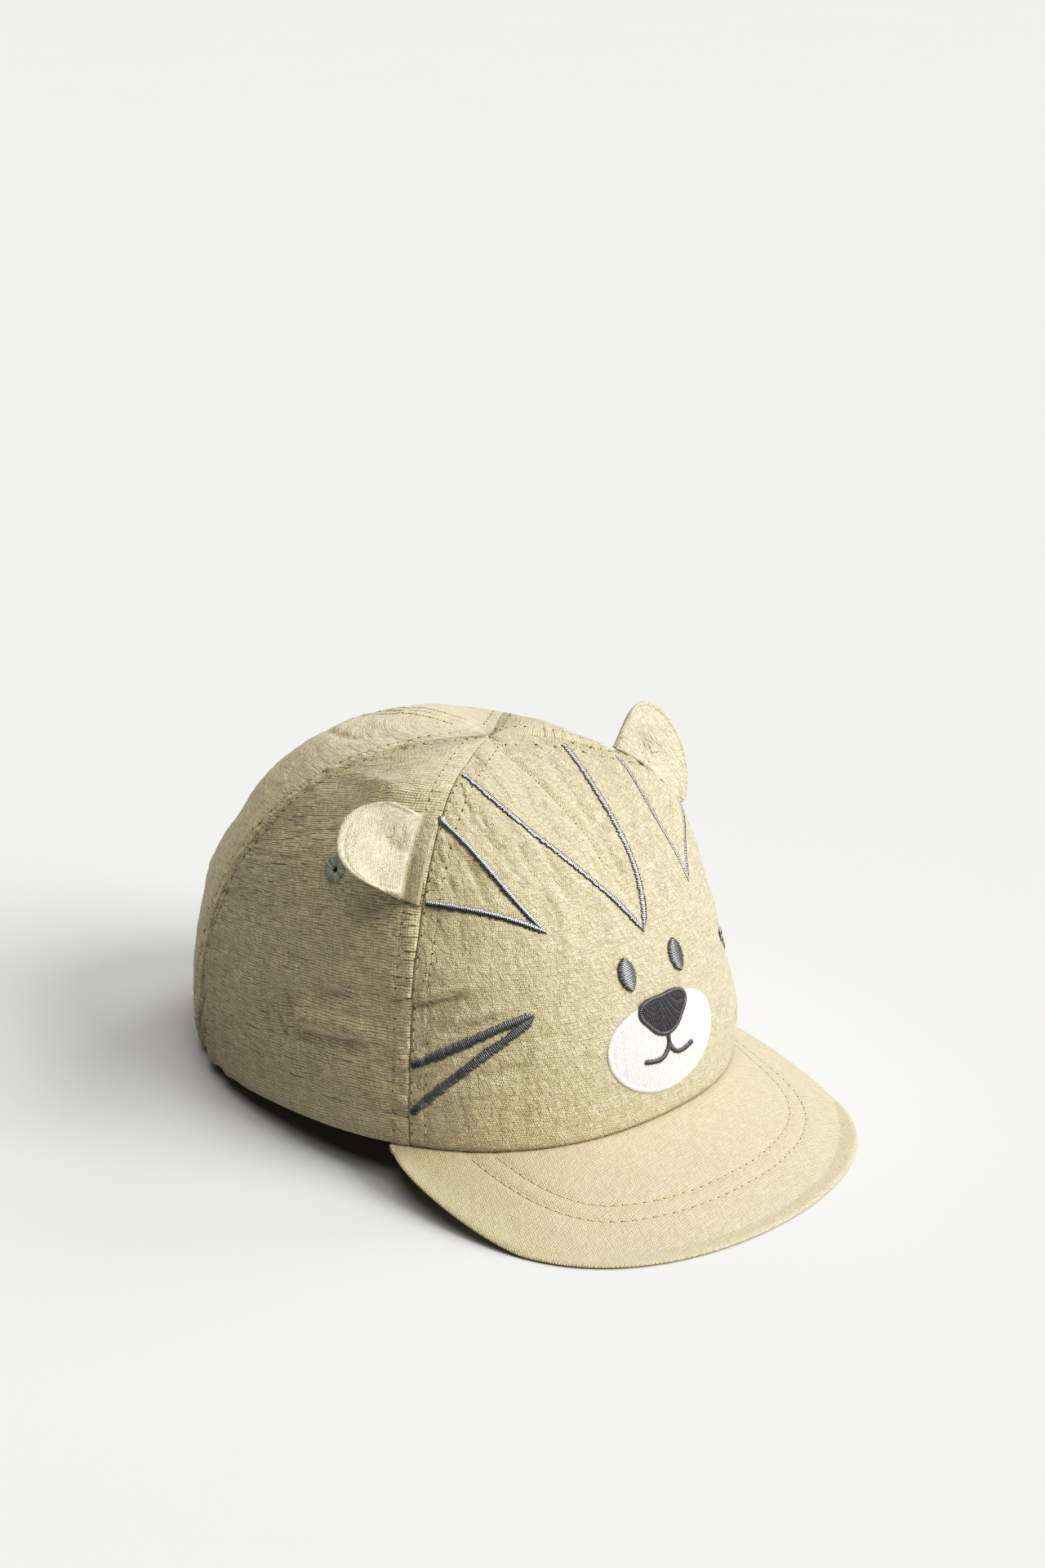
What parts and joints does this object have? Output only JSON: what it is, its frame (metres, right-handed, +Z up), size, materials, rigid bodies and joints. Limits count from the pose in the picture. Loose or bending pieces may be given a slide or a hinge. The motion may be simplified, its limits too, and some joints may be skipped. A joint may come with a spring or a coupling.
{
  "type": "toddler's peaked cloth cap with ears",
  "caption": "Toddler's soft cloth cap with a curved peak, round padded ears, a gathered back hem and an embroidered animal face; it lies on its hem and the edge of its peak.",
  "frame": {"origin": "middle of the cap's footprint, on the surface that it lies on", "axes": "+Z up, the cap faces -Y, +X to its own left, which is the picture's right"},
  "size_m": [0.1376, 0.2254, 0.113],
  "materials": {
    "crown_cloth": "crinkled cotton, matt",
    "peak_cloth": "plain woven cotton, matt",
    "ear_cloth": "plain woven cotton, matt",
    "eyelet_thread": "stitched thread",
    "charcoal_thread": "satin stitch, soft sheen",
    "white_thread": "satin stitch, soft sheen"
  },
  "bodies": {
    "root": {"front_panel": "crown_cloth", "side_panel_left": "crown_cloth", "side_panel_right": "crown_cloth", "back_panel_left": "crown_cloth", "back_panel_right": "crown_cloth", "peak": "peak_cloth", "ear_left": "ear_cloth", "ear_right": "ear_cloth", "eyelet_left": "eyelet_thread", "eyelet_right": "eyelet_thread", "eye_left": "charcoal_thread", "eye_right": "charcoal_thread", "nose": "charcoal_thread", "muzzle": "white_thread"}
  },
  "joints": []
}
